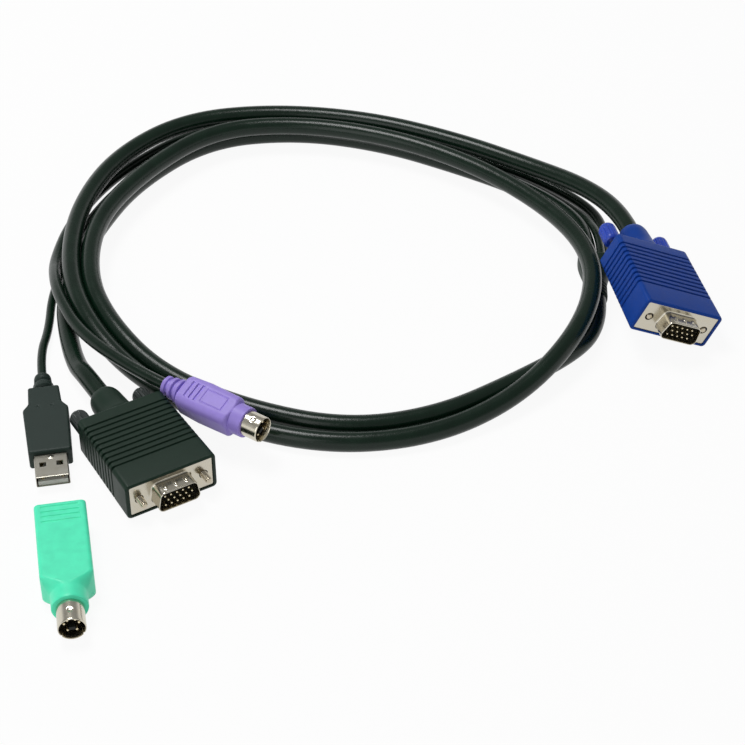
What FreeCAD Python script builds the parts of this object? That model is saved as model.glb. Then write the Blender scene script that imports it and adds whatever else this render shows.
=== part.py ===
"""KVM cable with its USB to PS/2 adapter, lying in a loose loop on a table.

Millimetres, +Z up. X runs to the right and Y away from the viewer, and the table is z = 0. Every plug is
drawn in a frame of its own, with the mating face looking along -Y, the cable leaving along +Y and +Z up,
and is then turned and set down where it lies. Routes are given from the middle of the loop.
"""
import FreeCAD
import Part

import math
import os

from FreeCAD import Placement, Rotation, Vector

# Cable diameters and where the middle of the loop is in the part's frame
TRUNK_D = 7.5
VIDEO_D = 7.4
PS2_D = 4.6
USB_D = 3.4
LOOP_CENTRE = Vector(-14.97, 87.1, 0.0)

# High-density D-sub plug: stamped shell, contacts and the jackscrew spacing that sets the hood's width
JACK_SPACING = 25.0
FLANGE_LUG = 3.5
FLANGE_W = JACK_SPACING + 2 * FLANGE_LUG
FLANGE_H = 12.5
FLANGE_T = 0.8
FLANGE_RECESS = 0.4
FLANGE_CORNER = 0.5
SHELL_OUT = 5.9
SHELL_WALL = 0.45
DEE_W = 16.9
DEE_H = 8.36
DEE_DRAFT = 10.0
DEE_CORNER = 2.2
PIN_D = 0.76
PIN_L = 4.5
PIN_TIP = 0.4
PIN_PITCH = 2.29
ROW_PITCH = 1.98
INSULATOR_FACE = 0.5
INSULATOR_BACK = 6.0

# Hood of the D-sub plug: rim round the flange, grip grooves and the turned strain relief
HOOD_RIM_W = 1.5
HOOD_RIM_T = 1.25
HOOD_W = FLANGE_W + 2 * HOOD_RIM_W
HOOD_T = FLANGE_H + 2 * HOOD_RIM_T
HOOD_DRAFT = 0.8
HOOD_L = 42.2
HOOD_CORNER = 1.6
POCKET_GAP = 0.1
GROOVES = 10
GROOVE_PITCH = 2.65
GROOVE_W = 1.0
GROOVE_DEPTH = 0.5
GROOVE_START = 11.5
RELIEF_L = 14.8
RELIEF_ROOT_D = 14.8
RELIEF_END_D = 12.2

# Thumbscrews: steel screw, moulded knob, and how far each pair is drawn back or pushed through
JACK_D = 2.8
JACK_BORE = 3.4
JACK_POINT = 0.5
KNOB_D = 7.0
KNOB_L = 10.0
FLUTES = 12
FLUTE_D = 0.8
SLOT_W = 1.0
SLOT_DEPTH = 1.1
CONSOLE_KNOB_GAP = 4.0
CONSOLE_REACH = 0.4
COMPUTER_KNOB_GAP = 0.3
COMPUTER_REACH = 4.5

# USB A plug
USB_HOOD_W = 16.6
USB_HOOD_T = 8.0
USB_HOOD_EDGE = 0.7
USB_FRONT_TAPER = 0.6
USB_BODY_L = 23.5
USB_SHOULDER_L = 4.0
USB_NECK_W = 11.4
USB_NECK_END = 36.5
USB_RELIEF_L = 9.5
USB_RELIEF_D = 7.8
USB_RELIEF_END_D = 6.6
USB_SHELL_W = 12.0
USB_SHELL_T = 4.5
USB_SHELL_L = 12.0
USB_SHELL_ROOT = 8.0
USB_SHELL_CORNER = 0.5
USB_WALL = 0.32
USB_WINDOW = 2.4
USB_WINDOW_AT = 6.4
USB_TONGUE_STEP = 0.1
USB_TONGUE_SIDE = 0.4
USB_TONGUE_SHORT = 0.6
CONTACT_W = 1.0
CONTACT_T = 0.2
CONTACT_X = (-3.5, -1.0, 1.0, 3.5)

# Mini-DIN plug, used by the keyboard and mouse lead and by the adapter
DIN_D = 9.5
DIN_ROOT_D = 8.9
DIN_ROOT_L = 4.0
DIN_WALL = 0.5
DIN_FACE = 2.0
DIN_KEY_W = 2.2
DIN_KEY_T = 1.3
DIN_KEY_DROP = 0.9
DIN_KEY_SHORT = 1.2
DIN_PIN_D = 1.0
DIN_PIN_SHORT = 1.6
DIN_PIN_CIRCLE = 5.2
DIN_FLUTE_D = 0.5
DIN_FLUTE_L = 4.0

# Hood of the keyboard and mouse plug
PS2_SKIRT_L = 6.8
PS2_COLLAR_D = 11.4
PS2_COLLAR_L = 5.0
PS2_GRIP_W = 12.8
PS2_GRIP_T = 12.0
PS2_GRIP_SWELL = 0.6
PS2_GRIP_CORNER = 3.2
PS2_GRIP_L = 23.5
PS2_GRIP_BEVEL = 0.8
PS2_RELIEF_L = 9.2
PS2_RELIEF_D = 9.4
PS2_RELIEF_END_D = 7.4
FINGER_GROOVES = 3
FINGER_PITCH = 2.2
FINGER_W = 0.9
FINGER_DEPTH = 0.55
FINGER_SPAN = 6.5
FINGER_FROM_END = 8.5

# Adapter from USB socket to mini-DIN plug
ADAPTER_SKIRT_L = 9.2
ADAPTER_W = 17.8
ADAPTER_T = 12.5
ADAPTER_CORNER = 1.4
ADAPTER_BOX_L = 34.4
ADAPTER_BARREL_D = 12.5
ADAPTER_TAPER_L = 5.0
ADAPTER_BARREL_L = 6.2
ADAPTER_END = ADAPTER_BARREL_L + ADAPTER_TAPER_L + ADAPTER_BOX_L
ADAPTER_GROOVES = 4
ADAPTER_GROOVE_PITCH = 2.4
ADAPTER_GROOVE_W = 0.7
ADAPTER_GROOVE_DEPTH = 0.35
ADAPTER_GROOVE_INSET = 2.25
SOCKET_W = 12.6
SOCKET_T = 5.1
SOCKET_WALL = 0.3
SOCKET_FLOOR = 0.4
SOCKET_DEPTH = 12.6
SOCKET_RECESS = 0.3
SOCKET_TONGUE_W = 10.6
SOCKET_TONGUE_T = 1.7
SOCKET_TONGUE_L = 9.0
SOCKET_TONGUE_Z = 0.95
SOCKET_CONTACT_T = 0.15
SOCKET_CONTACT_L = 8.0

# Straight stretch of cable where it leaves a plug or the breakout
LEAD = 14.0

# Breakout where the trunk divides: wall round the cables, and each cable's place across the far end
BOOT_L = 26.0
BOOT_H = 8.6
BOOT_WALL = 0.6
BOOT_EXITS = {"video": (-2.6, -0.6), "usb": (2.4, 2.35), "ps2": (4.2, -1.9)}

# Where each plug lies: middle of its mating face, turn about Z, tilt of its cable end, roll about its axis
CONSOLE_AT = (Vector(127.4, -40.2, 13.9), 12.2, 2.7, 25.3)
COMPUTER_AT = (Vector(-57.9, -124.5, 7.5), 31.0, 0.0, 0.0)
PS2_AT = (Vector(-32.4, -98.6, 14.6), 55.5, 0.0, -18.0)
ADAPTER_AT = (Vector(-86.9, -182.0, 6.25), 10.6, 0.0, 0.0)
BOOT_AT = (Vector(100.2, -12.0, 4.3), -3.0, 0.0, 0.0)

# The USB plug lies beside the computer plug, with its rounded flank just under the end of the left knob
USB_TURN = 11.0
USB_UNDER_KNOB = 0.7051
USB_KNOB_AT = 16.8205

# Far side of each cable's ends is the plug or boot, so a route lists only the points between them
TRUNK_ROUTE = [
    (100.2, 50, 15.6), (79, 70, 12.4), (48, 91, 11.8), (10, 108, 11.8), (-32, 114, 11.8), (-70, 107, 11.8),
    (-96.5, 79.5, 11.7), (-108.6, 43, 11.6), (-109, 5, 11.6), (-100.5, -29, 11.4), (-80.5, -58, 6.5),
    (-49, -82, 3.75), (-8, -98, 3.75), (32, -94, 3.75), (64.5, -74.5, 5.5), (88, -47.5, 12.2),
    (99, -15, 12.7), (97.4, 14, 12.6), (82, 44, 11.8), (54, 73.5, 11.8), (18, 95, 11.8),
    (-22, 104.5, 11.8), (-58, 99, 11.8), (-84.5, 67.5, 11.8), (-100.5, 33, 11.7), (-100.5, -5, 11.6),
    (-89.5, -33, 9.5), (-68, -58.5, 4.5), (-35, -78, 3.75), (2, -89.2, 3.75), (36, -82.2, 3.75),
    (66.5, -62, 3.75), (91, -42.8, 4.0),
]
VIDEO_ROUTE = [
    (94.6, 46, 3.7), (76, 66, 3.7), (50, 83, 3.7), (16, 101.5, 3.7), (-22, 110.5, 3.7), (-60, 104, 3.7),
    (-88.5, 71, 3.7), (-102, 36, 3.7), (-106.4, 12, 3.7), (-109, -12, 3.7), (-105.5, -33, 3.7),
    (-100, -53, 4.5),
]
PS2_ROUTE = [
    (106.6, 49.5, 2.3), (84.3, 74.3, 2.3), (56, 92.3, 2.3), (19.5, 112.2, 2.3), (-23, 121.3, 2.3),
    (-67, 114, 2.3), (-98.5, 79, 2.3), (-113, 44.5, 2.3), (-116.5, 15, 3.2), (-113.5, -5, 9.0),
    (-109, -21.5, 11.5), (-98.6, -44.4, 12.8),
]
USB_ROUTE = [
    (100.6, 48.3, 1.9), (80.5, 70.5, 1.7), (53.5, 88, 1.7), (18, 107.3, 1.7), (-22.5, 116.5, 1.7),
    (-64, 109.3, 1.7), (-94, 75, 1.7), (-108.5, 40, 1.7), (-112.5, 14, 1.7), (-115, -7, 1.7),
    (-113.5, -28, 1.8),
]

RIGHT = Vector(1, 0, 0)
REAR = Vector(0, 1, 0)
UP = Vector(0, 0, 1)


def pose(at):
    """Placement of a plug's own frame in the part's frame."""
    centre, turn, tilt, roll = at
    rotation = Rotation(UP, turn).multiply(Rotation(RIGHT, tilt)).multiply(Rotation(REAR, roll))
    return Placement(LOOP_CENTRE + centre, rotation)


def beside_knob():
    """Where the USB plug lies, from the end of the computer plug's left knob and its own flank."""
    knob_end = HOOD_L + COMPUTER_KNOB_GAP + KNOB_L
    knob_side = JACK_SPACING / 2 + KNOB_D / 2
    corner = pose(COMPUTER_AT).multVec(Vector(-knob_side, knob_end, 0)) - LOOP_CENTRE
    flank = Vector(USB_HOOD_W / 2 - USB_UNDER_KNOB, USB_KNOB_AT, 0)
    face = corner - Rotation(UP, USB_TURN).multVec(flank)
    return (Vector(face.x, face.y, USB_HOOD_T / 2), USB_TURN, 0.0, 0.0)


def save(shape, name, at):
    shape.Placement = pose(at).multiply(shape.Placement)
    shape.exportStep(f"parts/{name}.step")


def rounded_outline(width, height, corner, y, z=0.0):
    """Wire of a rounded rectangle across the plug's axis."""
    a = width / 2 - corner
    b = height / 2 - corner
    k = corner * math.sqrt(0.5)
    edges = []
    for cx, cz, sx, sz in ((a, b, 1, 1), (-a, b, -1, 1), (-a, -b, -1, -1), (a, -b, 1, -1)):
        side = Vector(cx + sx * corner, y, z + cz)
        middle = Vector(cx + sx * k, y, z + cz + sz * k)
        top = Vector(cx, y, z + cz + sz * corner)
        ends = (side, top) if sx == sz else (top, side)
        edges.append(Part.Arc(ends[0], middle, ends[1]).toShape())
    lines = []
    for this, following in zip(edges, edges[1:] + edges[:1]):
        lines.append(Part.LineSegment(this.Vertexes[-1].Point, following.Vertexes[0].Point).toShape())
    return Part.Wire([edge for pair in zip(edges, lines) for edge in pair])


def prism(width, height, corner, y0, y1, z=0.0):
    face = Part.Face(rounded_outline(width, height, corner, y0, z))
    return face.extrude(Vector(0, y1 - y0, 0))


def rod(diameter, y0, y1, x=0.0, z=0.0):
    return Part.makeCylinder(diameter / 2, y1 - y0, Vector(x, y0, z), REAR)


def block(width, height, y0, y1, x=0.0, z=0.0):
    return Part.makeBox(width, y1 - y0, height, Vector(x - width / 2, y0, z - height / 2))


def lathe(profile):
    """Solid of revolution about the plug's axis from (y, radius) points that start and end on the axis."""
    points = [Vector(radius, y, 0) for y, radius in profile]
    face = Part.Face(Part.makePolygon(points + points[:1]))
    return face.revolve(Vector(0, 0, 0), REAR, 360)


def ringed_relief(y0, y1, d0, d1, rings):
    """Strain relief that narrows from d0 to d1, cut by deep grooves into a row of rings."""
    pitch = (y1 - y0) / rings
    profile = [(y0, 0.0)]
    for i in range(rings):
        start = y0 + i * pitch
        radius = (d0 + (d1 - d0) * i / max(rings - 1, 1)) / 2
        profile += [(start, radius * 0.78), (start + 0.3 * pitch, radius * 0.78)]
        profile += [(start + 0.35 * pitch, radius), (start + 0.95 * pitch, radius * 0.97)]
    profile += [(y1, d1 / 2 * 0.8), (y1, 0.0)]
    return lathe(profile)


def dee(inset, y0, y1):
    """D outline with its long side down, extruded along the plug's axis."""
    height = DEE_H - 2 * inset
    wide = DEE_W / 2 - inset
    narrow = wide - height * math.tan(math.radians(DEE_DRAFT))
    corners = [(-wide, -height / 2), (wide, -height / 2), (narrow, height / 2), (-narrow, height / 2)]
    points = [Vector(x, y0, z) for x, z in corners]
    solid = Part.Face(Part.makePolygon(points + points[:1])).extrude(Vector(0, y1 - y0, 0))
    along = [edge for edge in solid.Edges if abs(edge.tangentAt(edge.FirstParameter).y) > 0.99]
    return solid.makeFillet(DEE_CORNER - inset, along)


def grooves():
    """Grip grooves that run right round the D-sub hood, as deep on its slanted sides as on its flats."""
    rings = []
    for i in range(GROOVES):
        y0 = GROOVE_START + i * GROOVE_PITCH
        width = HOOD_W - 2 * HOOD_DRAFT * y0 / HOOD_L - 2 * GROOVE_DEPTH
        outer = block(HOOD_W + 2, HOOD_T + 2, y0, y0 + GROOVE_W)
        core = prism(width, HOOD_T - 2 * GROOVE_DEPTH, HOOD_CORNER, y0, y0 + GROOVE_W)
        rings.append(outer.cut(core))
    return Part.makeCompound(rings)


def relief_profile():
    """Half section of the turned strain relief: flared root, slow taper and rounded end."""
    root = RELIEF_ROOT_D / 2
    narrowing = (RELIEF_ROOT_D - RELIEF_END_D) / 2
    profile = [(HOOD_L - HOOD_CORNER, 0.0), (HOOD_L - HOOD_CORNER, root)]
    for along, share in ((0.0, 0.0), (0.1, 0.24), (0.27, 0.59), (0.53, 0.82), (0.77, 1.0)):
        profile.append((HOOD_L + along * RELIEF_L, root - share * narrowing))
    end = RELIEF_END_D / 2
    profile += [(HOOD_L + 0.92 * RELIEF_L, 0.93 * end), (HOOD_L + RELIEF_L, 0.77 * end)]
    return profile + [(HOOD_L + RELIEF_L, 0.0)]


def dsub_hood():
    """Overmoulded hood: flat grip body and the round strain relief where the cable leaves."""
    front = rounded_outline(HOOD_W, HOOD_T, HOOD_CORNER, 0)
    back = rounded_outline(HOOD_W - 2 * HOOD_DRAFT, HOOD_T, HOOD_CORNER, HOOD_L)
    body = Part.makeLoft([front, back], True, True)
    rear = [edge for edge in body.Edges if all(vertex.Y > HOOD_L - 0.01 for vertex in edge.Vertexes)]
    body = body.makeFillet(HOOD_CORNER * 0.9, rear)
    body = body.cut(grooves())
    hood = body.fuse(lathe(relief_profile())).removeSplitter()
    pocket_w = FLANGE_W + 2 * POCKET_GAP
    pocket_h = FLANGE_H + 2 * POCKET_GAP
    pocket = prism(pocket_w, pocket_h, FLANGE_CORNER + POCKET_GAP, 0, FLANGE_RECESS + FLANGE_T)
    hood = hood.cut(pocket).cut(dee(SHELL_WALL, 0, INSULATOR_BACK))
    for side in (-1, 1):
        hood = hood.cut(rod(JACK_BORE, -1, HOOD_L + RELIEF_L, x=side * JACK_SPACING / 2))
    return hood


def dsub_shell():
    """Stamped steel shell: flange with two jackscrew holes and the D-shaped skirt in one piece."""
    back = FLANGE_RECESS + FLANGE_T
    flange = prism(FLANGE_W, FLANGE_H, FLANGE_CORNER, FLANGE_RECESS, back)
    shell = flange.fuse(dee(0, -SHELL_OUT, back))
    shell = shell.cut(dee(SHELL_WALL, -SHELL_OUT - 1, back + 1))
    for side in (-1, 1):
        shell = shell.cut(rod(JACK_BORE, -1, back + 1, x=side * JACK_SPACING / 2))
    return shell.removeSplitter()


def dsub_insulator():
    return dee(SHELL_WALL, -INSULATOR_FACE, INSULATOR_BACK)


def dsub_pins():
    """Fifteen contacts in three rows, the middle row half a pitch to one side."""
    front = -INSULATOR_FACE - PIN_L
    pins = []
    for row in range(3):
        for i in range(5):
            x = (i - 2) * PIN_PITCH + (PIN_PITCH / 4 if row == 1 else -PIN_PITCH / 4)
            z = (1 - row) * ROW_PITCH
            pin = rod(PIN_D, front, -INSULATOR_FACE, x=x, z=z)
            tip = Part.makeCone(PIN_D / 2, PIN_D / 4, PIN_TIP, Vector(x, front, z), -REAR)
            pins.append(pin.fuse(tip))
    return Part.makeCompound(pins)


def jack_knob(x, gap):
    """Moulded thumb knob with fluted sides and a slotted round end, standing `gap` behind the hood."""
    y0 = HOOD_L + gap
    y1 = y0 + KNOB_L
    radius = KNOB_D / 2
    front = [(y0, 0.0), (y0, 0.8 * radius), (y0 + 0.3 * radius, radius)]
    back = [(y1 - 0.5 * radius, radius), (y1 - 0.15 * radius, 0.82 * radius), (y1, 0.55 * radius), (y1, 0.0)]
    knob = lathe(front + back)
    flutes = []
    for i in range(FLUTES):
        angle = 2 * math.pi * i / FLUTES
        across = radius * math.cos(angle)
        flutes.append(rod(FLUTE_D, y0 + 0.4 * radius, y1 - 0.6 * radius, across, radius * math.sin(angle)))
    slot = block(SLOT_W, KNOB_D, y1 - SLOT_DEPTH, y1 + 1)
    knob = knob.cut(Part.makeCompound(flutes)).cut(slot).cut(rod(JACK_D, y0 - 1, y0 + KNOB_L / 2))
    knob.translate(Vector(x, 0, 0))
    return knob


def jack_screw(x, gap, reach):
    """Steel jackscrew from the knob through the hood, `reach` in front of the flange."""
    tip = FLANGE_RECESS - reach
    shaft = rod(JACK_D, tip + JACK_POINT, HOOD_L + gap + KNOB_L / 2, x=x)
    neck = Vector(x, tip + JACK_POINT, 0)
    return shaft.fuse(Part.makeCone(JACK_D / 2, JACK_D / 2 - JACK_POINT, JACK_POINT, neck, -REAR))


def dsub_plug(name, at, knob_gap, screw_reach):
    save(dsub_hood(), f"{name}_hood", at)
    save(dsub_shell(), f"{name}_shell", at)
    save(dsub_insulator(), f"{name}_insulator", at)
    save(dsub_pins(), f"{name}_pins", at)
    for side, sign in (("left", -1), ("right", 1)):
        x = sign * JACK_SPACING / 2
        save(jack_knob(x, knob_gap), f"{name}_knob_{side}", at)
        save(jack_screw(x, knob_gap, screw_reach), f"{name}_screw_{side}", at)


def usb_hood():
    """Flat overmould with shouldered sides, narrow neck and ringed strain relief."""
    half = USB_HOOD_W / 2
    neck = USB_NECK_W / 2
    shoulder = USB_BODY_L + USB_SHOULDER_L
    side = [(half - USB_FRONT_TAPER, 0), (half, USB_BODY_L), (neck + 0.4, shoulder), (neck, USB_NECK_END)]
    outline = side + [(-x, y) for x, y in reversed(side)]
    points = [Vector(x, y, -USB_HOOD_T / 2) for x, y in outline]
    body = Part.Face(Part.makePolygon(points + points[:1])).extrude(Vector(0, 0, USB_HOOD_T))
    rims = [edge for edge in body.Edges if abs(edge.CenterOfMass.z) > USB_HOOD_T / 2 - 0.01]
    body = body.makeFillet(USB_HOOD_EDGE, rims)
    end = USB_NECK_END + USB_RELIEF_L
    relief = ringed_relief(USB_NECK_END, end, USB_RELIEF_D, USB_RELIEF_END_D, 2)
    pocket = prism(USB_SHELL_W, USB_SHELL_T, USB_SHELL_CORNER, -1, USB_SHELL_ROOT)
    return body.fuse(relief).cut(pocket)


def usb_bore(y0, y1):
    """Space inside the folded shell."""
    width = USB_SHELL_W - 2 * USB_WALL
    height = USB_SHELL_T - 2 * USB_WALL
    return prism(width, height, USB_SHELL_CORNER - USB_WALL / 2, y0, y1)


def usb_shell():
    """Folded steel shell, open at the front, with two latch windows above and two below."""
    shell = prism(USB_SHELL_W, USB_SHELL_T, USB_SHELL_CORNER, -USB_SHELL_L, USB_SHELL_ROOT)
    shell = shell.cut(usb_bore(-USB_SHELL_L - 1, USB_SHELL_ROOT - USB_WALL))
    for x in (-USB_SHELL_W / 4, USB_SHELL_W / 4):
        shell = shell.cut(block(USB_WINDOW, 2 * USB_SHELL_T, -USB_WINDOW_AT, USB_WINDOW - USB_WINDOW_AT, x=x))
    return shell


def usb_tongue():
    width = USB_SHELL_W - 2 * USB_WALL - 2 * USB_TONGUE_SIDE
    height = USB_SHELL_T / 2 - USB_WALL - USB_TONGUE_STEP
    middle = -USB_TONGUE_STEP - height / 2
    tongue = block(width, height, -USB_SHELL_L + USB_TONGUE_SHORT, 0, z=middle)
    return tongue.fuse(usb_bore(0, USB_SHELL_ROOT - USB_WALL))


def usb_contacts():
    """Four strips on the tongue, the two outer ones reaching further forward."""
    strips = []
    for x in CONTACT_X:
        set_back = 1.0 if abs(x) > CONTACT_X[-1] / 2 else 2.0
        front = -USB_SHELL_L + USB_TONGUE_SHORT + set_back
        strips.append(block(CONTACT_W, CONTACT_T, front, 0, x=x, z=CONTACT_T / 2 - USB_TONGUE_STEP))
    return Part.makeCompound(strips)


def usb_plug(name, at):
    save(usb_hood(), f"{name}_hood", at)
    save(usb_shell(), f"{name}_shell", at)
    save(usb_tongue(), f"{name}_tongue", at)
    save(usb_contacts(), f"{name}_contacts", at)


def din_shell(length):
    """Round steel skirt of a mini-DIN plug, stepped in where it enters the hood, with three keying flutes."""
    shell = rod(DIN_D, -length, 0).cut(rod(DIN_D - 2 * DIN_WALL, -length - 1, -DIN_WALL))
    shell = shell.fuse(rod(DIN_ROOT_D, -DIN_WALL, DIN_ROOT_L))
    shell = shell.cut(rod(DIN_ROOT_D - 2 * DIN_WALL, -length - 1, DIN_ROOT_L + 1))
    for angle in (90, 215, 325):
        x = (DIN_D / 2) * math.cos(math.radians(angle))
        z = (DIN_D / 2) * math.sin(math.radians(angle))
        shell = shell.cut(rod(DIN_FLUTE_D, -length - 1, -length + DIN_FLUTE_L, x=x, z=z))
    return shell


def din_insulator(length):
    """Disc that carries the contacts, with the flat plastic key that stands out between them."""
    disc = rod(DIN_D - 2 * DIN_WALL, -DIN_FACE, -DIN_WALL)
    stem = rod(DIN_ROOT_D - 2 * DIN_WALL, -DIN_WALL, DIN_ROOT_L)
    key = block(DIN_KEY_W, DIN_KEY_T, -length + DIN_KEY_SHORT, -DIN_FACE, z=-DIN_KEY_DROP)
    return disc.fuse([stem, key])


def din_pins(length):
    pins = []
    for angle in (20, 60, 120, 160, 235, 305):
        x = DIN_PIN_CIRCLE / 2 * math.cos(math.radians(angle))
        z = DIN_PIN_CIRCLE / 2 * math.sin(math.radians(angle))
        pins.append(rod(DIN_PIN_D, -length + DIN_PIN_SHORT, -DIN_FACE, x=x, z=z))
    return Part.makeCompound(pins)


def din_contacts(name, at, length):
    save(din_shell(length), f"{name}_shell", at)
    save(din_insulator(length), f"{name}_insulator", at)
    save(din_pins(length), f"{name}_pins", at)


def ps2_hood():
    """Round collar, squarish grip with three finger grooves on each flat, ringed strain relief."""
    grip_end = PS2_COLLAR_L + PS2_GRIP_L
    collar = rod(PS2_COLLAR_D, 0, PS2_COLLAR_L + 1)
    bevel_w = PS2_GRIP_W - 2 * PS2_GRIP_BEVEL
    bevel_t = PS2_GRIP_T - 2 * PS2_GRIP_BEVEL
    bevel_end = PS2_COLLAR_L + PS2_GRIP_BEVEL
    nose = rounded_outline(bevel_w, bevel_t, PS2_GRIP_CORNER - PS2_GRIP_BEVEL, PS2_COLLAR_L)
    front = rounded_outline(PS2_GRIP_W, PS2_GRIP_T, PS2_GRIP_CORNER, bevel_end)
    middle_y = PS2_COLLAR_L + 0.6 * PS2_GRIP_L
    middle = rounded_outline(PS2_GRIP_W + PS2_GRIP_SWELL, PS2_GRIP_T, PS2_GRIP_CORNER, middle_y)
    back_w = PS2_GRIP_W - PS2_GRIP_SWELL
    back = rounded_outline(back_w, PS2_GRIP_T - PS2_GRIP_SWELL, PS2_GRIP_CORNER, grip_end)
    bevel = Part.makeLoft([nose, front], True, True)
    grip = Part.makeLoft([front, middle, back], True)
    for i in range(FINGER_GROOVES):
        y0 = grip_end - FINGER_FROM_END + FINGER_PITCH * i
        for z in (-PS2_GRIP_T / 2, PS2_GRIP_T / 2):
            grip = grip.cut(block(FINGER_SPAN, 2 * FINGER_DEPTH, y0, y0 + FINGER_W, z=z))
    relief = ringed_relief(grip_end, grip_end + PS2_RELIEF_L, PS2_RELIEF_D, PS2_RELIEF_END_D, 3)
    return collar.fuse([bevel, grip, relief]).cut(rod(DIN_ROOT_D, -1, DIN_ROOT_L))


def ps2_plug(name, at):
    save(ps2_hood(), f"{name}_hood", at)
    din_contacts(name, at, PS2_SKIRT_L)


def adapter_body():
    """Adapter moulding: flat box with a USB socket in its rear end, drawn in to a round barrel in front."""
    box_start = ADAPTER_BARREL_L + ADAPTER_TAPER_L
    barrel = rod(ADAPTER_BARREL_D, 0, ADAPTER_BARREL_L + 1)
    round_corner = ADAPTER_BARREL_D / 2 - 0.05
    taper_front = rounded_outline(ADAPTER_BARREL_D, ADAPTER_BARREL_D, round_corner, ADAPTER_BARREL_L)
    taper_back = rounded_outline(ADAPTER_W, ADAPTER_T, ADAPTER_CORNER, box_start)
    taper = Part.makeLoft([taper_front, taper_back], True)
    box = prism(ADAPTER_W, ADAPTER_T, ADAPTER_CORNER, box_start, ADAPTER_END)
    body = barrel.fuse([taper, box])
    span = ADAPTER_W - 2 * ADAPTER_GROOVE_INSET
    for i in range(ADAPTER_GROOVES):
        y1 = ADAPTER_END - ADAPTER_GROOVE_PITCH * (i + 1) + ADAPTER_GROOVE_W
        for z in (-ADAPTER_T / 2, ADAPTER_T / 2):
            body = body.cut(block(span, 2 * ADAPTER_GROOVE_DEPTH, y1 - ADAPTER_GROOVE_W, y1, z=z))
    return body.cut(socket_space(ADAPTER_END + 1)).cut(rod(DIN_ROOT_D, -1, DIN_ROOT_L))


def socket_space(end):
    """Block that the liner of the USB socket fills, from its floor to `end`."""
    width = SOCKET_W + 2 * SOCKET_WALL
    height = SOCKET_T + 2 * SOCKET_WALL
    return prism(width, height, SOCKET_WALL + 0.2, ADAPTER_END - SOCKET_DEPTH, end)


def adapter_socket():
    """Steel liner of the USB socket."""
    inside = prism(SOCKET_W, SOCKET_T, 0.2, ADAPTER_END - SOCKET_DEPTH + SOCKET_FLOOR, ADAPTER_END + 1)
    return socket_space(ADAPTER_END - SOCKET_RECESS).cut(inside)


def adapter_tongue():
    floor = ADAPTER_END - SOCKET_DEPTH + SOCKET_FLOOR
    return block(SOCKET_TONGUE_W, SOCKET_TONGUE_T, floor, floor + SOCKET_TONGUE_L, z=SOCKET_TONGUE_Z)


def adapter_contacts():
    floor = ADAPTER_END - SOCKET_DEPTH + SOCKET_FLOOR
    z = SOCKET_TONGUE_Z - SOCKET_TONGUE_T / 2 - SOCKET_CONTACT_T / 2
    end = floor + SOCKET_CONTACT_L
    return Part.makeCompound([block(CONTACT_W, SOCKET_CONTACT_T, floor, end, x=x, z=z) for x in CONTACT_X])


def adapter(name, at):
    save(adapter_body(), f"{name}_body", at)
    save(adapter_socket(), f"{name}_socket", at)
    save(adapter_tongue(), f"{name}_tongue", at)
    save(adapter_contacts(), f"{name}_contacts", at)
    din_contacts(name, at, ADAPTER_SKIRT_L)


def breakout_boot():
    """Flat moulding that grips the trunk and fans out to the three branches."""
    left = BOOT_EXITS["video"][0] - VIDEO_D / 2 - BOOT_WALL
    right = BOOT_EXITS["ps2"][0] + PS2_D / 2 + BOOT_WALL
    narrow = rounded_outline(TRUNK_D + 2 * BOOT_WALL, BOOT_H, TRUNK_D / 2, 0)
    wide = rounded_outline(right - left, BOOT_H, BOOT_H / 3, BOOT_L)
    wide.translate(Vector((left + right) / 2, 0, 0))
    return Part.makeLoft([narrow, wide], True)


def cable(name, route, diameter):
    """Tube along straight runs joined by tangent arcs, each arc as large as its two runs allow."""
    edges = []
    radii = []
    start = route[0]
    for before, corner, after in zip(route, route[1:], route[2:]):
        back = (before - corner).normalize()
        on = (after - corner).normalize()
        half_turn = (math.pi - back.getAngle(on)) / 2
        reach = 0.45 * min(before.distanceToPoint(corner), after.distanceToPoint(corner))
        radius = reach / math.tan(half_turn)
        entry = corner + back * reach
        leave = corner + on * reach
        bisector = (back + on).normalize()
        crown = corner + bisector * (radius / math.cos(half_turn) - radius)
        edges.append(Part.LineSegment(start, entry).toShape())
        edges.append(Part.Arc(entry, crown, leave).toShape())
        radii.append(radius)
        start = leave
    edges.append(Part.LineSegment(start, route[-1]).toShape())
    path = Part.Wire(edges)
    section = Part.Wire(Part.makeCircle(diameter / 2, route[0], route[1] - route[0]))
    tube = path.makePipeShell([section], True, False)
    expected = math.pi * diameter ** 2 / 4 * path.Length
    print(f"{name}: length {path.Length:.0f} mm, volume {tube.Volume / expected:.4f} of section times length")
    print(f"  radii in diameters: {', '.join(f'{radius / diameter:.1f}' for radius in radii)}")
    tube.exportStep(f"parts/{name}.step")


def on_plug(at, y, x=0.0, z=0.0):
    return pose(at).multVec(Vector(x, y, z))


def cables():
    console_end = HOOD_L + RELIEF_L
    route = [on_plug(CONSOLE_AT, console_end), on_plug(CONSOLE_AT, console_end + LEAD)]
    route += [LOOP_CENTRE + Vector(*point) for point in TRUNK_ROUTE]
    route += [on_plug(BOOT_AT, -LEAD), on_plug(BOOT_AT, 0)]
    cable("trunk_cable", route, TRUNK_D)
    branches = (
        ("video", VIDEO_ROUTE, VIDEO_D, COMPUTER_AT, HOOD_L + RELIEF_L),
        ("usb", USB_ROUTE, USB_D, USB_AT, USB_NECK_END + USB_RELIEF_L),
        ("ps2", PS2_ROUTE, PS2_D, PS2_AT, PS2_COLLAR_L + PS2_GRIP_L + PS2_RELIEF_L),
    )
    for name, points, diameter, plug_at, plug_end in branches:
        x, z = BOOT_EXITS[name]
        route = [on_plug(BOOT_AT, BOOT_L, x, z), on_plug(BOOT_AT, BOOT_L + LEAD, x, z)]
        route += [LOOP_CENTRE + Vector(*point) for point in points]
        route += [on_plug(plug_at, plug_end + LEAD), on_plug(plug_at, plug_end)]
        cable(f"{name}_branch", route, diameter)


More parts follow.
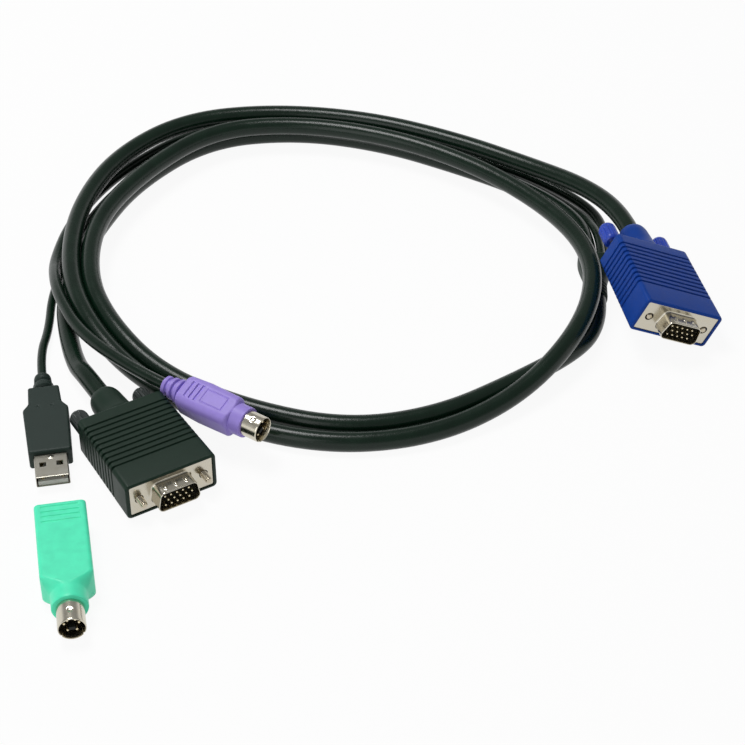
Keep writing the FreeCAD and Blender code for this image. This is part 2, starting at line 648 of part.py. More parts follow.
USB_AT = beside_knob()
os.makedirs("parts", exist_ok=True)
dsub_plug("console", CONSOLE_AT, CONSOLE_KNOB_GAP, CONSOLE_REACH)
dsub_plug("computer", COMPUTER_AT, COMPUTER_KNOB_GAP, COMPUTER_REACH)
usb_plug("usb", USB_AT)
ps2_plug("ps2", PS2_AT)
adapter("adapter", ADAPTER_AT)
save(breakout_boot(), "breakout_boot", BOOT_AT)
cables()
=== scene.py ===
"""A KVM cable: a trunk from a blue plug, split into three leads, and the adapter that goes with it."""
import math

import bpy
import numpy as np
from mathutils import Matrix, Vector


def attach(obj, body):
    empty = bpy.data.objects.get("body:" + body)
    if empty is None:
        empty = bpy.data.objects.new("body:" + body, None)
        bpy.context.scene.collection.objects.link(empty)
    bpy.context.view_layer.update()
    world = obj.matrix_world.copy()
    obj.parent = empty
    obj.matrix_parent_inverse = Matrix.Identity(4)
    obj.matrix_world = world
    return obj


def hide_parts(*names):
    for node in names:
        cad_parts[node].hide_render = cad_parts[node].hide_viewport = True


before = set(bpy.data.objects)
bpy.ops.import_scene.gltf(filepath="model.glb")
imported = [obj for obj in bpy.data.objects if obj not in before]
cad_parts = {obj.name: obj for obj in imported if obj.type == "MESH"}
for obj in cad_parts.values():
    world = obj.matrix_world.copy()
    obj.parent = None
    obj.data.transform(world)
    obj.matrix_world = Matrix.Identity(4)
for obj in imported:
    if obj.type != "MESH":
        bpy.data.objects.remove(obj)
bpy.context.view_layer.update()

# Moulded hoods of the two video plugs
# Satin PVC moulded over the plug and the end of its cable: a flat grip with ten finger grooves that run
# right round it, a smooth band in front, a pocket for the steel flange and a turned relief behind.
MM = 0.001
crease = math.radians(38)
loop_centre = np.array([-14.97, 87.1, 0.0])


class Value:
    """Output of a shader node. Arithmetic with it adds Math nodes to the same tree."""

    def __init__(self, shader, socket):
        self.shader = shader
        self.socket = socket

    def math(self, operation, first, second):
        return self.shader.node("ShaderNodeMath", {0: first, 1: second}, {"operation": operation})

    def __add__(self, other):
        return self.math("ADD", self, other)

    def __mul__(self, other):
        return self.math("MULTIPLY", self, other)

    def __sub__(self, other):
        return self.math("SUBTRACT", self, other)

    def __rsub__(self, other):
        return self.math("SUBTRACT", other, self)

    def above(self, other):
        return self.math("MAXIMUM", self, other)

    __radd__ = __add__
    __rmul__ = __mul__


class Shader:
    """A node tree; node() adds a node, sets it up, feeds its sockets and gives back one of its outputs."""

    def __init__(self, owner):
        owner.use_nodes = True
        self.owner = owner
        self.tree = owner.node_tree

    def feed(self, node, sockets):
        for key, value in sockets.items():
            if isinstance(value, Value):
                self.tree.links.new(value.socket, node.inputs[key])
            else:
                node.inputs[key].default_value = value

    def node(self, kind, sockets, settings=None, output=0):
        made = self.tree.nodes.new(kind)
        for key, value in (settings or {}).items():
            setattr(made, key, value)
        self.feed(made, sockets)
        return Value(self, made.outputs[output])

    def place(self):
        return self.node("ShaderNodeTexCoord", {}, output="Object")

    def noise(self, scale, detail=2.0):
        return self.node("ShaderNodeTexNoise", {"Vector": self.place(), "Scale": scale, "Detail": detail})

    def between(self, amount, first, second):
        colours = {0: amount, 6: (*first, 1.0), 7: (*second, 1.0)}
        return self.node("ShaderNodeMix", colours, {"data_type": "RGBA"}, output=2)

    def relief(self, height, depth):
        return self.node("ShaderNodeBump", {"Height": height, "Strength": 1.0, "Distance": depth})

    def surface(self, **sockets):
        words = {key.replace("_", " "): value for key, value in sockets.items()}
        self.feed(self.tree.nodes["Principled BSDF"], words)
        return self.owner


def moulding(name, colour, roughness, specular=0.4, grain=0.000012):
    """Moulded plastic: faintly mottled colour, patchy gloss and the fine grain of a spark-eroded mould."""
    shader = Shader(bpy.data.materials.new(name))
    mottle = shader.noise(260.0)
    spark = shader.noise(5200.0, 1.0)
    darker = [0.86 * part for part in colour]
    lighter = [1.1 * part for part in colour]
    return shader.surface(
        Base_Color=shader.between(mottle, darker, lighter),
        Roughness=roughness - 0.06 + 0.12 * mottle,
        Specular_IOR_Level=specular,
        Normal=shader.relief(spark, grain),
    )


def spokes(half_w, half_h, corner, per_corner=9, per_side=18):
    """Angles from the middle of a rounded rectangle to points spread along its sides and corner arcs."""
    turn = np.linspace(0.0, math.pi / 2, per_corner)
    up = np.linspace(0.0, half_h - corner, per_side // 2, endpoint=False)
    across = np.linspace(half_w - corner, 0.0, per_side)[1:]
    x = np.concatenate([np.full_like(up, half_w), half_w - corner + corner * np.cos(turn), across])
    z = np.concatenate([up, half_h - corner + corner * np.sin(turn), np.full_like(across, half_h)])
    quarter = np.arctan2(z, x)
    half = np.concatenate([quarter, math.pi - quarter[::-1]])
    return np.unique(np.concatenate([half, half + math.pi]).round(7) % round(2 * math.pi, 7))


def rounded(half_w, half_h, corner, angle):
    """Distance from the middle of a rounded rectangle to its edge: the nearer side, or the corner's arc."""
    half_w, half_h, corner = (np.atleast_1d(part)[:, None] for part in (half_w, half_h, corner))
    c = np.abs(np.cos(angle))
    s = np.abs(np.sin(angle))
    side = np.minimum(half_w / np.maximum(c, 1e-9), half_h / np.maximum(s, 1e-9))
    x = half_w - corner
    z = half_h - corner
    along = c * x + s * z
    arc = along + np.sqrt(np.maximum(along**2 - x**2 - z**2 + corner**2, 0.0))
    return np.where((side * c > x) & (side * s > z), arc, side)


def rings(y, reach, angle):
    """Closed rings across a plug's axis, one for each y, at a distance from the axis for each angle."""
    reach = np.broadcast_to(reach, (len(y), len(angle)))
    along = np.broadcast_to(y[:, None], reach.shape)
    return np.stack([reach * np.cos(angle), along, reach * np.sin(angle)], -1)


def skin(stack, looped=False):
    """Quads between neighbouring rings; the stack is looped, or flat faces close its two end rings."""
    count, around, _ = stack.shape
    row = np.arange(count if looped else count - 1)[:, None]
    step = np.arange(around)[None, :]
    near = row * around
    far = (row + 1) % count * around
    ahead = (step + 1) % around
    quads = np.stack([near + step, near + ahead, far + ahead, far + step], -1).reshape(-1, 4)
    a, b, c, d = (stack.reshape(-1, 3)[quads[:, i]] for i in range(4))
    middle = stack[0].mean(0)
    volume = np.einsum("ij,ij->", a - middle, np.cross(b - middle, c - middle))
    volume += np.einsum("ij,ij->", a - middle, np.cross(c - middle, d - middle))
    if not looped:
        last = stack[-1]
        spread = np.cross(np.roll(last, -1, 0) - middle, last.mean(0) - middle)
        volume += np.einsum("ij,ij->", last - middle, spread)
    faces = quads.tolist()
    if not looped:
        faces += [list(range(around))[::-1], list(range((count - 1) * around, count * around))]
    if volume < 0:
        faces = [face[::-1] for face in faces]
    return stack.reshape(-1, 3), faces


def build(name, skins, at):
    """Mesh object of one or more skins, moved from the plug's own frame in millimetres to its place."""
    points = []
    faces = []
    for found, their_faces in skins:
        base = sum(len(done) for done in points)
        points.append(found)
        faces += [[base + i for i in face] for face in their_faces]
    matrix = np.array(at)
    placed = np.concatenate(points) @ matrix[:3, :3].T + matrix[:3, 3]
    mesh = bpy.data.meshes.new(name)
    mesh.from_pydata((placed * MM).tolist(), [], faces)
    mesh.shade_smooth()
    mesh.set_sharp_from_angle(angle=crease)
    made = bpy.data.objects.new(name, mesh)
    bpy.context.scene.collection.objects.link(made)
    return made


def bore(target, cutter):
    """Takes the cutter's volume out of a piece and throws the cutter away."""
    cut = target.modifiers.new("bore", "BOOLEAN")
    cut.object = cutter
    cut.solver = "EXACT"
    result = bpy.data.meshes.new_from_object(target.evaluated_get(bpy.context.evaluated_depsgraph_get()))
    target.modifiers.clear()
    target.data = result
    result.shade_smooth()
    result.set_sharp_from_angle(angle=crease)
    bpy.data.objects.remove(cutter)


def coat(piece, material):
    """Gives a piece one finish all over."""
    piece.data.materials.clear()
    piece.data.materials.append(material)


def fit(piece, material, body, node):
    """Gives a piece its finish and the body that carries it, and hides the plain solid that it stands for."""
    coat(piece, material)
    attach(piece, body)
    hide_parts(node)
    return piece


def smooth(amount):
    """Smoothstep: the amount held between 0 and 1, squared, times three less twice itself."""
    held = np.clip(amount, 0.0, 1.0)
    return held**2 * (3 - 2 * held)


def lie(x, y, z, turn, tilt=0.0, roll=0.0):
    """Frame of a plug from the middle of the loop: turned, then its cable end lifted, then rolled."""
    place = Matrix.Translation(Vector(loop_centre) + Vector((x, y, z)))
    turned = Matrix.Rotation(math.radians(turn), 4, "Z") @ Matrix.Rotation(math.radians(tilt), 4, "X")
    return place @ turned @ Matrix.Rotation(math.radians(roll), 4, "Y")


console_at = lie(127.4, -40.2, 13.9, 12.2, 2.7, 25.3)
computer_at = lie(-57.9, -124.5, 7.5, 31.0)
hood_end = 42.2
relief_end = 57.0
hood_half_w = 17.5
hood_half_h = 7.5
hood_corner = 1.6
hood_draft = 0.019
rear_edge_r = 1.44
grooves = 10
groove_first = 12.0
groove_pitch = 2.65
groove_depth = 0.55
jack_x = 12.5
jack_bore_r = 1.7
blue = moulding("blue_satin_pvc", (0.005, 0.048, 0.29), 0.42, 0.13)
black = moulding("black_satin_pvc", (0.0045, 0.0195, 0.0105), 0.46, 0.22)

body_angle = spokes(hood_half_w, hood_half_h, hood_corner, 9, 22)
lip_y = np.array([1.25, 0.15, 0.0, 0.0, 0.12, 0.45, 0.9])
lip = rounded(
    np.array([16.05, 16.1, 16.25, 16.85, 17.18, 17.42, 17.48]),
    np.array([6.3, 6.35, 6.5, 6.9, 7.2, 7.43, 7.5]),
    np.array([0.5, 0.6, 0.75, 1.2, 1.4, 1.55, 1.6]),
    body_angle,
)
across = np.array([-0.72, -0.6, -0.52, -0.44, -0.36, -0.12, 0.12, 0.36, 0.44, 0.52, 0.6, 0.72])
groove_y = (groove_first + groove_pitch * np.arange(grooves)[:, None] + across).ravel()
groove = groove_depth * smooth((0.6 - np.abs(np.tile(across, grooves))) / 0.24)
grip_w = hood_half_w - hood_draft * groove_y - groove
grip = rounded(grip_w, hood_half_h - groove, hood_corner, body_angle)
taper_y = hood_end + np.array(
    [0.0, 0.4, 1.0, 2.0, 3.0, 4.0, 5.5, 7.0, 8.5, 10.0, 11.4, 12.4, 13.3, 14.0, 14.5, 14.8, 14.8, 13.8]
)
taper_r = np.array(
    [7.38, 7.3, 7.15, 6.94, 6.77, 6.61, 6.48, 6.38, 6.27, 6.17, 6.06, 5.86, 5.6, 5.26, 4.88, 4.5, 3.82, 3.78]
)
taper = taper_r[:, None] * np.ones_like(body_angle)
bend = np.linspace(0.0, math.pi / 2, 8)
edge_y = hood_end - rear_edge_r + rear_edge_r * np.sin(bend)
drawn_in = rear_edge_r * (1 - np.cos(bend))
edge_w = hood_half_w - hood_draft * edge_y - drawn_in
edge = np.maximum(rounded(edge_w, hood_half_h - drawn_in, hood_corner, body_angle), taper_r[0])
hood_y = np.concatenate([lip_y, groove_y, edge_y, taper_y])
hood = rings(hood_y, np.concatenate([lip, grip, edge, taper]), body_angle)
full_turn = np.linspace(0.0, 2 * math.pi, 48, endpoint=False)


def screw_ways(at, back):
    """Two rods on the jackscrews' axes, from in front of the plug to a place in it, to bore with."""
    rod = rings(np.array([-1.0, back]), jack_bore_r, full_turn)
    return build("ways", [skin(rod + np.array([x, 0.0, 0.0])) for x in (-jack_x, jack_x)], at)


for plug, at, material, slot in (
    ("console", console_at, blue, "blue_overmould"),
    ("computer", computer_at, black, "black_overmould"),
):
    made = build(f"{plug}_grip", [skin(hood)], at)
    bore(made, screw_ways(at, hood_end + 2.0))
    fit(made, material, "harness", f"{plug}_hood")


# Steel shells of the video plugs
# Each is stamped from thin nickel-plated steel: a flat flange with two screw holes, a D-shaped skirt drawn
# out of it with a soft bend at the root, and three pressed dimples that ground it in the socket.
def plated(name, colour, roughness):
    """Plated steel: patchy shine, faint warm tarnish and the shallow waviness of pressed sheet."""
    shader = Shader(bpy.data.materials.new(name))
    patch = shader.noise(420.0, 3.0)
    streak = shader.noise(2600.0, 2.0)
    warm = [colour[0], 0.94 * colour[1], 0.82 * colour[2]]
    return shader.surface(
        Base_Color=shader.between(patch, warm, colour),
        Metallic=1.0,
        Roughness=roughness - 0.07 + 0.1 * patch + 0.06 * streak,
        Normal=shader.relief(streak, 0.000006),
    )


nickel = plated("nickel_plate", (0.55, 0.53, 0.47), 0.2)
dee_w = 16.9
dee_h = 8.36
dee_corner = 2.2
dee_lean = math.radians(10.0)
flange_half_w = 16.0
flange_half_h = 6.25
flange_corner = 0.5
flange_front = 0.4
root_r = 0.75
shell_wall = 0.45
dimple_half_w = 0.55
dimple_half_l = 1.3
dimple_y = -2.9
dimple_height = 0.42


def dee_reach(inset, angle):
    """Distance from the plug's axis to a D outline with rounded corners, wide side down, along each angle."""
    corner = dee_corner - inset
    lean = dee_lean
    high = dee_h / 2 - inset
    wide = dee_w / 2 - inset
    narrow = wide - 2 * high * math.tan(lean)
    low_x = wide - corner * math.tan(lean) - corner / math.cos(lean)
    top_x = narrow + corner * math.tan(lean) - corner / math.cos(lean)
    low_turn = np.linspace(-math.pi / 2, lean, 14)
    top_turn = np.linspace(lean, math.pi / 2, 14)
    low_arc = np.c_[low_x + corner * np.cos(low_turn), corner - high + corner * np.sin(low_turn)]
    top_arc = np.c_[top_x + corner * np.cos(top_turn), high - corner + corner * np.sin(top_turn)]
    flank = np.linspace(low_arc[-1], top_arc[0], 40)
    top = np.linspace(top_arc[-1], top_arc[-1] * (0, 1), 40)
    foot = np.linspace(low_arc[0] * (0, 1), low_arc[0], 40)
    right = np.concatenate([foot, low_arc, flank, top_arc, top])
    line = np.concatenate([right, right[::-1] * (-1, 1)])
    bearing = np.arctan2(line[:, 1], line[:, 0])
    return np.interp(angle, bearing, np.hypot(line[:, 0], line[:, 1]), period=2 * math.pi)


even = np.linspace(0.0, 2 * math.pi, 288, endpoint=False)
flange_angle = spokes(flange_half_w, flange_half_h, flange_corner, 5, 4)
shell_angle = np.unique(np.concatenate([even, flange_angle]).round(6))
flange_y = flange_front + np.array([0.8, 0.1, 0.02, 0.0])
flange_ease = np.array([0.0, 0.0, 0.04, 0.15])
flange = rounded(flange_half_w - flange_ease, flange_half_h - flange_ease, flange_corner, shell_angle)
root = np.linspace(math.pi / 2, 0.0, 7)
root_y = flange_front - root_r + root_r * np.sin(root)
skirt_y = np.concatenate([root_y, np.linspace(-0.6, -5.5, 40)])
outset = np.concatenate([root_r * (1 - np.cos(root)), np.zeros(40)])
skirt = dee_reach(0.0, shell_angle)[None, :] + outset[:, None]
rim_y = np.array([-5.72, -5.85, -5.9, -5.86, -5.7, -3.0, 1.2])
rim_in = np.array([0.03, 0.12, 0.24, 0.36, shell_wall, shell_wall, shell_wall])
rim = np.stack([dee_reach(inset, shell_angle) for inset in rim_in])
shell_y = np.concatenate([flange_y, skirt_y, rim_y])
shell = rings(shell_y, np.concatenate([flange, skirt, rim]), shell_angle)
row = slice(len(flange_y), len(flange_y) + len(skirt_y))
above = shell[row, :, 2] > 3.4
for dimple_x in (-4.0, 0.0, 4.0):
    off_x = (shell[row, :, 0] - dimple_x) / dimple_half_w
    off_y = (shell[row, :, 1] - dimple_y) / dimple_half_l
    shell[row, :, 2] += np.where(above, dimple_height * np.exp(-((off_x**2 + off_y**2) ** 2)), 0.0)

for plug, at in (("console", console_at), ("computer", computer_at)):
    made = build(f"{plug}_flange_shell", [skin(shell, looped=True)], at)
    bore(made, screw_ways(at, 2.0))
    fit(made, nickel, "harness", f"{plug}_shell")


# Contacts of the video plugs
# Fifteen gold-flashed pins in three rows stand in a black block deep in the D shell, the middle row half a
# pitch to one side. Their tips are rounded so that they find the socket.
def gilt(name):
    """Thin gold over nickel, with a little wear in the colour."""
    shader = Shader(bpy.data.materials.new(name))
    wear = shader.noise(1500.0, 2.0)
    return shader.surface(
        Base_Color=shader.between(wear, (0.7, 0.58, 0.34), (0.82, 0.76, 0.6)),
        Metallic=1.0,
        Roughness=0.2 + 0.12 * wear,
    )


gold = gilt("gold_flash")
block_black = moulding("black_contact_block", (0.006, 0.008, 0.007), 0.55, 0.3)
pin_pitch = 2.29
row_pitch = 1.98
pin_turn = np.linspace(0.0, 2 * math.pi, 20, endpoint=False)


def pin(radius, root, shoulder, nose):
    """Round pin: straight from root to shoulder, then a quarter of an ellipse down to a tiny flat tip."""
    tip = np.linspace(0.0, math.pi / 2, 7)
    y = np.concatenate([[root], shoulder - nose * np.sin(tip)])
    r = np.concatenate([[radius], radius * np.cos(tip) + 0.004])
    return rings(y, r[:, None], pin_turn)


pin_rows, pin_columns = np.meshgrid(np.arange(3), np.arange(5) - 2)
pin_x = (pin_columns + np.where(pin_rows == 1, 0.25, -0.25)) * pin_pitch
pin_z = (1 - pin_rows) * row_pitch
stands = np.c_[pin_x.ravel(), np.zeros(15), pin_z.ravel()]
for plug, at in (("console", console_at), ("computer", computer_at)):
    contacts = [skin(pin(0.38, -0.5, -5.02, 0.38) + stand) for stand in stands]
    fit(build(f"{plug}_fifteen_pins", contacts, at), gold, "harness", f"{plug}_pins")
    coat(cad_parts[f"{plug}_insulator"], block_black)


# Thumbscrews
# A steel jackscrew runs through each side of the hood and turns freely in it. A fluted knob is moulded on
# its rear end, with a slot for a screwdriver, and the front end has a fine thread.
blue_gloss = moulding("blue_knob_plastic", (0.012, 0.052, 0.43), 0.34, 0.5)
black_gloss = moulding("black_knob_plastic", (0.013, 0.02, 0.018), 0.36, 0.5)
screw_steel = plated("screw_steel", (0.5, 0.46, 0.38), 0.24)
knob_turn = np.linspace(0.0, 2 * math.pi, 144, endpoint=False)
flutes = 12
flute_depth = 0.34
flute = flute_depth * np.clip(np.cos(flutes * knob_turn), 0.0, 1.0) ** 1.5
thread_turn = np.linspace(0.0, 2 * math.pi, 28, endpoint=False)
thread_pitch = 0.64
thread_l = 5.5
ridge_height = 0.26
core_r = 1.14
shank_r = 1.38
slot_half_w = 0.5


def knob(gap):
    """Knob behind the hood: turned profile whose fluted middle fades out into plain, rounded ends."""
    along = np.array([0.0, 0.0, 0.2, 0.6, 1.0, 1.4, 1.8, 4.8, 7.6, 8.0, 8.4, 8.9, 9.35, 9.7, 10.0, 10.0])
    y = hood_end + gap + along
    r = np.array([1.42, 2.7, 2.95, 3.25, 3.42, 3.48, 3.5, 3.5, 3.5, 3.48, 3.38, 3.15, 2.85, 2.5, 1.9, 0.3])
    depth = np.array([0, 0, 0, 0, 0, 0.3, 1, 1, 1, 0.3, 0, 0, 0, 0, 0, 0])
    return rings(y, r[:, None] - depth[:, None] * flute, knob_turn)


def screw(gap, reach):
    """Shank with a ridge wound along its front end: the ridge follows y over its pitch, less the turn."""
    front = flange_front - reach
    wound = np.linspace(front + 0.4, front + thread_l, 110)
    y = np.concatenate([[front, front + 0.12], wound, [hood_end + gap + 4.4]])
    phase = (y[:, None] / thread_pitch - thread_turn / (2 * math.pi)) % 1.0
    ridge = ridge_height * np.clip(1.0 - np.abs(2.0 * phase - 1.0) * 1.5, 0.0, 1.0)
    fade = np.clip((y - front - 0.4) / 0.5, 0.0, 1.0) * np.clip((front + thread_l - 0.1 - y) / 0.6, 0.0, 1.0)
    core = np.concatenate([[0.75, 1.0], np.full(111, core_r)])
    swell = np.where(y > front + thread_l - 0.05, shank_r - core_r, 0.0)
    return rings(y, (core + swell)[:, None] + ridge * fade[:, None], thread_turn)


for plug, at, material, slot, gap, reach in (
    ("console", console_at, blue_gloss, "blue_knob", 4.0, 0.4),
    ("computer", computer_at, black_gloss, "black_knob", 0.3, 4.5),
):
    for side, x in (("left", -jack_x), ("right", jack_x)):
        shift = np.array([x, 0.0, 0.0])
        made = build(f"{plug}_thumb_knob_{side}", [skin(knob(gap) + shift)], at)
        slot_y = hood_end + gap + np.array([8.9, 11.2])
        slot_cut = rings(slot_y, rounded(slot_half_w, 5.0, 0.05, full_turn), full_turn) + shift
        bore(made, build("slot", [skin(slot_cut)], at))
        fit(made, material, f"{plug}_thumbscrew_{side}", f"{plug}_knob_{side}")
        made = build(f"{plug}_jack_screw_{side}", [skin(screw(gap, reach) + shift)], at)
        fit(made, screw_steel, f"{plug}_thumbscrew_{side}", f"{plug}_screw_{side}")


# USB plug
# A folded steel shell with latch windows sits in a flat PVC hood, which steps in to a neck and ends in a
# short ringed relief. Two small marks on the shoulder are left by the mould's ejector pins.
usb_at = lie(-102.9, -105.7, 4.0, 11.0)
usb_satin = moulding("grey_black_satin_pvc", (0.012, 0.025, 0.02), 0.5, 0.28)
usb_half_h = 4.0
usb_neck_end = 36.5
usb_end = 46.0
mark_y = 25.2
mark_depth = 0.4
usb_angle = spokes(8.3, usb_half_h, 0.9, 8, 30)
usb_lip_y = [0.6, 0.0, 0.0, 0.1, 0.35, 0.7]
usb_y = np.concatenate([usb_lip_y, np.linspace(1.2, 23.0, 24), np.linspace(23.3, usb_neck_end, 70)])
step_y = [0.0, 23.4, 24.2, 26.4, 27.6, 36.1, usb_neck_end]
half_w = np.interp(usb_y, step_y, [7.7, 8.3, 8.15, 6.65, 6.1, 5.72, 5.5])
half_h = np.full_like(usb_y, usb_half_h)
eased = np.array([1.1, 1.0, 0.7, 0.32, 0.1, 0.0])
half_w[:6] -= eased
half_h[:6] -= eased
half_w[0], half_h[0] = 6.0, 2.25
half_w[1], half_h[1] = 6.1, 2.35
half_h[-3:] -= (0.06, 0.2, 0.5)
usb_corner = np.minimum(0.9, half_h * 0.4)
usb_body = rings(usb_y, rounded(half_w, half_h, usb_corner, usb_angle), usb_angle)
top_face = usb_body[:, :, 2] > usb_half_h - 0.1
for mark_x in (-2.5, 2.5):
    near = (usb_body[:, :, 0] - mark_x) ** 2 + (usb_body[:, :, 1] - mark_y) ** 2
    usb_body[:, :, 2] -= np.where(top_face, mark_depth * np.exp(-near / 0.16), 0.0)
relief_y = usb_neck_end + np.array(
    [0.0, 0.0, 1.2, 1.35, 1.55, 1.9, 3.9, 4.3, 4.55, 4.7, 6.0, 6.15, 6.35, 6.7, 8.5, 9.1, 9.5, 9.5]
)
relief_r = np.array(
    [4.0, 3.0, 3.0, 3.1, 3.6, 3.88, 3.86, 3.7, 2.9, 2.56, 2.56, 2.7, 3.1, 3.28, 3.2, 3.05, 2.62, 1.75]
)
usb_tail = rings(relief_y, relief_r[:, None], usb_angle)
usb_body = np.concatenate([usb_body, usb_tail])
fit(build("usb_grip", [skin(usb_body)], usb_at), usb_satin, "harness", "usb_hood")

usb_steel = plated("usb_shell_steel", (0.42, 0.415, 0.38), 0.3)
fold_half_w = 6.0
fold_half_h = 2.25
fold_corner = 0.5
fold_wall = 0.32
window_x = 3.0
window_half_w = 1.2
latch_height = 0.38
fold_angle = spokes(fold_half_w, fold_half_h, fold_corner, 7, 4)
fold_angle = np.unique(np.concatenate([even, fold_angle]).round(6))
fold_y = np.concatenate([[7.8], np.linspace(0.0, -11.7, 60), [-11.9, -12.0, -11.95, -11.7, 7.8]])
fold_in = np.concatenate([np.zeros(61), [0.04, 0.14, 0.24, fold_wall, fold_wall]])
inner_corner = np.maximum(fold_corner - fold_in, 0.2)
fold_reach = rounded(fold_half_w - fold_in, fold_half_h - fold_in, inner_corner, fold_angle)
fold = rings(fold_y, fold_reach, fold_angle)
outer_top = (fold[:, :, 2] > 2.1) & (fold_in < 0.01)[:, None]
near = (fold[:, :, 0] / 1.3) ** 2 + (fold[:, :, 1] + 1.7) ** 2
fold[:, :, 2] += np.where(outer_top, latch_height * np.exp(-near / 0.3), 0.0)
usb_case = build("usb_folded_shell", [skin(fold, looped=True)], usb_at)
window_y = np.array([-6.4, -4.0])
window = rings(window_y, rounded(window_half_w, 5.0, 0.15, full_turn), full_turn)
windows = [skin(window + np.array([x, 0.0, 0.0])) for x in (-window_x, window_x)]
bore(usb_case, build("windows", windows, usb_at))
fit(usb_case, usb_steel, "harness", "usb_shell")
tongue_white = moulding("white_contact_block", (0.55, 0.54, 0.5), 0.5)
coat(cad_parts["usb_tongue"], tongue_white)
coat(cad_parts["usb_contacts"], gold)


# Mini-DIN skirts
# A rolled steel skirt with two keying flutes and a pressed dent on top guards six pins, which stand in a
# black disc round a flat plastic key. The violet plug and the adapter have the same one.
ps2_at = lie(-32.4, -98.6, 14.6, 55.5, 0.0, -18.0)
adapter_at = lie(-86.9, -182.0, 6.25, 10.6)
skirt_angle = np.linspace(0.0, 2 * math.pi, 240, endpoint=False)
skirt_r = 4.75
flute_half_w = 0.42
key_depth = 0.3
dent_r = 0.95
dent_depth = 0.34
pin_circle_r = 2.6


def din_skirt(length):
    """Skirt whose root steps in under the hood; the two flutes and the dent on top lower its radius."""
    wall = np.linspace(-0.1, 0.5 - length, 40)
    mouth = np.array([0.2, 0.04, 0.0, 0.04, 0.3]) - length
    y = np.concatenate([[3.9, 0.02, 0.0], wall, mouth, [-0.6, -0.5, 3.9]])
    inside_r = [4.72, 4.63, 4.52, 4.4, 4.27, 4.27, 3.98, 3.98]
    r = np.concatenate([[4.4, 4.4, 4.66], np.full(40, skirt_r), inside_r])
    r = r[:, None] * np.ones_like(skirt_angle)
    exposed = ((y < -0.05) & (y > -length - 0.1))[:, None]
    for key_angle in (215.0, 325.0):
        off = (skirt_angle - math.radians(key_angle)) * skirt_r
        along = np.clip((2.6 - length - y) / 0.6 + 1.6, 0.0, 1.0)[:, None]
        r -= np.where(exposed, key_depth * along * np.exp(-((off / flute_half_w) ** 4)), 0.0)
    dent_x = (skirt_angle - math.pi / 2)[None, :] * skirt_r / dent_r
    dent_y = (y + 0.52 * length)[:, None] / dent_r
    dent = np.exp(-((dent_x**2 + dent_y**2) ** 2))
    r -= np.where(exposed & (r > 4.6), dent_depth * dent, 0.0)
    return rings(y, r, skirt_angle)


bright = plated("bright_skirt_plate", (0.62, 0.6, 0.53), 0.2)
pin_bearing = np.radians([20.0, 60.0, 120.0, 160.0, 235.0, 305.0])
stands = pin_circle_r * np.c_[np.cos(pin_bearing), np.zeros(6), np.sin(pin_bearing)]
for plug, at, length in (("ps2", ps2_at, 6.8), ("adapter", adapter_at, 9.2)):
    made = build(f"{plug}_skirt", [skin(din_skirt(length), looped=True)], at)
    fit(made, bright, "harness", f"{plug}_shell")
    contacts = [skin(pin(0.48, -2.0, 2.05 - length, 0.45) + stand) for stand in stands]
    fit(build(f"{plug}_six_pins", contacts, at), gold, "harness", f"{plug}_pins")
    coat(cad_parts[f"{plug}_insulator"], block_black)


# Violet plug
# Its PVC hood is a round collar, a squarish grip with a narrow bevel in front, three short finger grooves
# and a plain framed panel on the flats, and a relief of three deep rings.
violet = moulding("violet_satin_pvc", (0.335, 0.25, 0.71), 0.44, 0.3)
ps2_grip_end = 28.5
ps2_end = 37.7
finger_depth = 0.55
panel_half_w = 3.0
panel_half_l = 4.9
panel_mid = 13.6
panel_line_depth = 0.24
ring_pitch = 3.07
ps2_angle = spokes(6.5, 6.0, 3.0, 12, 26)
collar_y = np.array([3.0, 0.15, 0.0, 0.0, 0.15, 0.5, 4.9])
collar_r = np.array([4.46, 4.46, 4.62, 5.35, 5.6, 5.7, 5.7])
bevel_y = [5.0, 5.02, 5.2, 5.5, 5.8, 6.2]
grip_y = np.concatenate([bevel_y, np.linspace(6.6, 27.6, 160), [27.9, 28.2, 28.4, ps2_grip_end]])
bend_y = [5.0, 5.2, 5.5, 5.8, 6.2, 19.1, 27.6, 28.2, ps2_grip_end]
grip_w = np.interp(grip_y, bend_y, [5.72, 6.0, 6.25, 6.37, 6.42, 6.7, 6.25, 6.0, 5.5])
grip_h = np.interp(grip_y, bend_y, [5.71, 5.8, 5.9, 5.96, 6.0, 6.0, 5.78, 5.55, 5.0])
corner_y = [5.0, 5.2, 5.8, 6.2, 27.6, ps2_grip_end]
grip_corner = np.interp(grip_y, corner_y, [5.7, 4.6, 3.5, 3.2, 3.2, 3.6])
violet_grip = rings(grip_y, rounded(grip_w, grip_h, grip_corner, ps2_angle), ps2_angle)
flat = np.clip((3.5 - np.abs(violet_grip[:, :, 0])) / 0.25, 0.0, 1.0)
for groove_mid in (20.45, 22.65, 24.85):
    dip = np.clip((0.55 - np.abs(grip_y - groove_mid)) / 0.22, 0.0, 1.0)[:, None]
    violet_grip[:, :, 2] -= np.sign(violet_grip[:, :, 2]) * finger_depth * dip * flat
panel_x = panel_half_w - np.abs(violet_grip[:, :, 0])
panel_y = (panel_half_l - np.abs(grip_y - panel_mid))[:, None]
border = np.minimum(panel_x, panel_y)
line = np.clip(1.0 - np.abs(border - 0.25) / 0.28, 0.0, 1.0)
violet_grip[:, :, 2] -= np.sign(violet_grip[:, :, 2]) * panel_line_depth * line
ring_y = np.array([0.0, 0.0, 1.0, 1.1, 1.25, 1.5, 2.6, 2.85, 2.95, 3.0])
ring_out = np.array([0.0, 0.0, 0.0, 0.06, 0.7, 1.0, 1.0, 0.7, 0.3, 0.0])
ring_base = np.array([3.65, 3.3, 2.95])[:, None]
ring_peak = np.array([4.7, 4.2, 3.7])[:, None]
relief_r = (ring_base + (ring_peak - ring_base) * ring_out).ravel()
relief_y = (ps2_grip_end + ring_pitch * np.arange(3)[:, None] + ring_y).ravel()
relief_y = np.append(relief_y, ps2_end)
